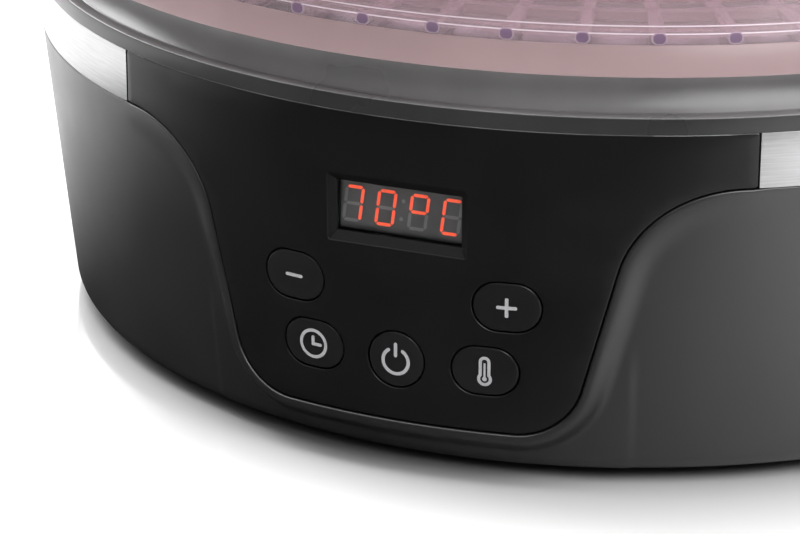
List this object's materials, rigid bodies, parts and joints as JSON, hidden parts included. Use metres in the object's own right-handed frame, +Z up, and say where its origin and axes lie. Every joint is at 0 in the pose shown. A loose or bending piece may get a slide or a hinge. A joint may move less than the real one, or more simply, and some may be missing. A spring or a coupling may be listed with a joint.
{
  "type": "food dehydrator",
  "caption": "Round countertop food dehydrator: powered base with a front control panel, brushed trim band, stacking tinted trays and a vented lid.",
  "frame": {"origin": "on the vertical centre line at floor level, under the feet", "axes": "+Z up; the control panel faces -Y and the cord inlet faces +Y; +X is to the right seen from the front"},
  "size_m": [0.3326, 0.3326, 0.2737],
  "materials": {
    "satin_black": "satin injection-moulded ABS",
    "panel_black": "satin black control panel",
    "casing_grey": "satin dark moulded ABS",
    "band_steel": "brushed along the band",
    "button_black": "satin black with pale printed symbols",
    "display_smoke": "smoked clear window",
    "display_body": "moulded light-emitting module",
    "digit_red": "lit segments",
    "board_green": "solder-masked circuit board",
    "part_black": "moulded component bodies",
    "screw_steel": "zinc-plated",
    "foot_rubber": "matt rubber",
    "duct_steel": "galvanised sheet",
    "motor_steel": "plated steel",
    "bearing_bronze": "sintered bronze",
    "fan_black": "glass-filled nylon",
    "mica": "laminated mica sheet",
    "heater_wire": "heat-tinted resistance wire",
    "ceramic": "glazed ceramic",
    "transformer_yellow": "taped winding",
    "relay_blue": "moulded case",
    "block_green": "moulded screw terminals",
    "lead_red": "insulated wire",
    "lead_white": "silicone-insulated wire",
    "cable_grey": "sheathed cable",
    "tray_rose": "clear rose-tinted plastic",
    "lid_clear": "clear rose-tinted plastic"
  },
  "bodies": {
    "base": {"base_housing": "satin_black", "top_casing": "casing_grey", "outlet_grille": "casing_grey", "trim_band": "band_steel", "control_panel": "panel_black", "display_lens": "display_smoke", "display_module": "display_body", "lit_digits": "digit_red", "control_board": "board_green", "tact_switches": "part_black", "board_screws": "screw_steel", "bottom_cover": "satin_black", "cover_screws": "screw_steel", "feet": "foot_rubber", "air_duct": "duct_steel", "duct_screws": "screw_steel", "motor_bracket": "motor_steel", "bracket_screws": "screw_steel", "motor_can": "motor_steel", "motor_end_cap": "motor_steel", "motor_bearings": "bearing_bronze", "heater_frame": "mica", "heater_coil": "heater_wire", "heater_terminals": "ceramic", "thermal_cutoff": "screw_steel", "temperature_sensor": "ceramic", "power_board": "board_green", "transformer": "transformer_yellow", "relay": "relay_blue", "terminal_block": "block_green", "power_board_screws": "screw_steel", "cord_gland": "part_black", "motor_leads": "lead_red", "heater_leads": "lead_white", "display_cable": "cable_grey"},
    "fan": {"motor_rotor": "motor_steel", "motor_shaft": "screw_steel", "fan_impeller": "fan_black", "fan_nut": "screw_steel"},
    "button_minus": {"button_minus": "button_black"},
    "button_plus": {"button_plus": "button_black"},
    "button_timer": {"button_timer": "button_black"},
    "button_power": {"button_power": "button_black"},
    "button_temperature": {"button_temperature": "button_black"},
    "tray_1": {"tray_1": "tray_rose"},
    "tray_2": {"tray_2": "tray_rose"},
    "tray_3": {"tray_3": "tray_rose"},
    "tray_4": {"tray_4": "tray_rose"},
    "tray_5": {"tray_5": "tray_rose"},
    "lid": {"lid": "lid_clear"}
  },
  "joints": [
    {"name": "fan_spin", "type": "hinge", "parent": "base", "child": "fan", "pos_m": [0, 0, 0.064], "axis": [0, 0, 1], "continuous": true},
    {"name": "minus_press", "type": "slide", "parent": "base", "child": "button_minus", "axis": [0, 1, 0], "range_m": [0, 0.0006], "stiffness_N_per_m": 900},
    {"name": "plus_press", "type": "slide", "parent": "base", "child": "button_plus", "axis": [0, 1, 0], "range_m": [0, 0.0006], "stiffness_N_per_m": 900},
    {"name": "timer_press", "type": "slide", "parent": "base", "child": "button_timer", "axis": [0, 1, 0], "range_m": [0, 0.0006], "stiffness_N_per_m": 900},
    {"name": "power_press", "type": "slide", "parent": "base", "child": "button_power", "axis": [0, 1, 0], "range_m": [0, 0.0006], "stiffness_N_per_m": 900},
    {"name": "temperature_press", "type": "slide", "parent": "base", "child": "button_temperature", "axis": [0, 1, 0], "range_m": [0, 0.0006], "stiffness_N_per_m": 900},
    {"name": "tray_1_lift", "type": "slide", "parent": "base", "child": "tray_1", "axis": [0, 0, 1], "range_m": [0, 0.06]},
    {"name": "tray_2_lift", "type": "slide", "parent": "tray_1", "child": "tray_2", "axis": [0, 0, 1], "range_m": [0, 0.06]},
    {"name": "tray_3_lift", "type": "slide", "parent": "tray_2", "child": "tray_3", "axis": [0, 0, 1], "range_m": [0, 0.06]},
    {"name": "tray_4_lift", "type": "slide", "parent": "tray_3", "child": "tray_4", "axis": [0, 0, 1], "range_m": [0, 0.06]},
    {"name": "tray_5_lift", "type": "slide", "parent": "tray_4", "child": "tray_5", "axis": [0, 0, 1], "range_m": [0, 0.06]},
    {"name": "lid_lift", "type": "slide", "parent": "tray_5", "child": "lid", "axis": [0, 0, 1], "range_m": [0, 0.06]}
  ]
}
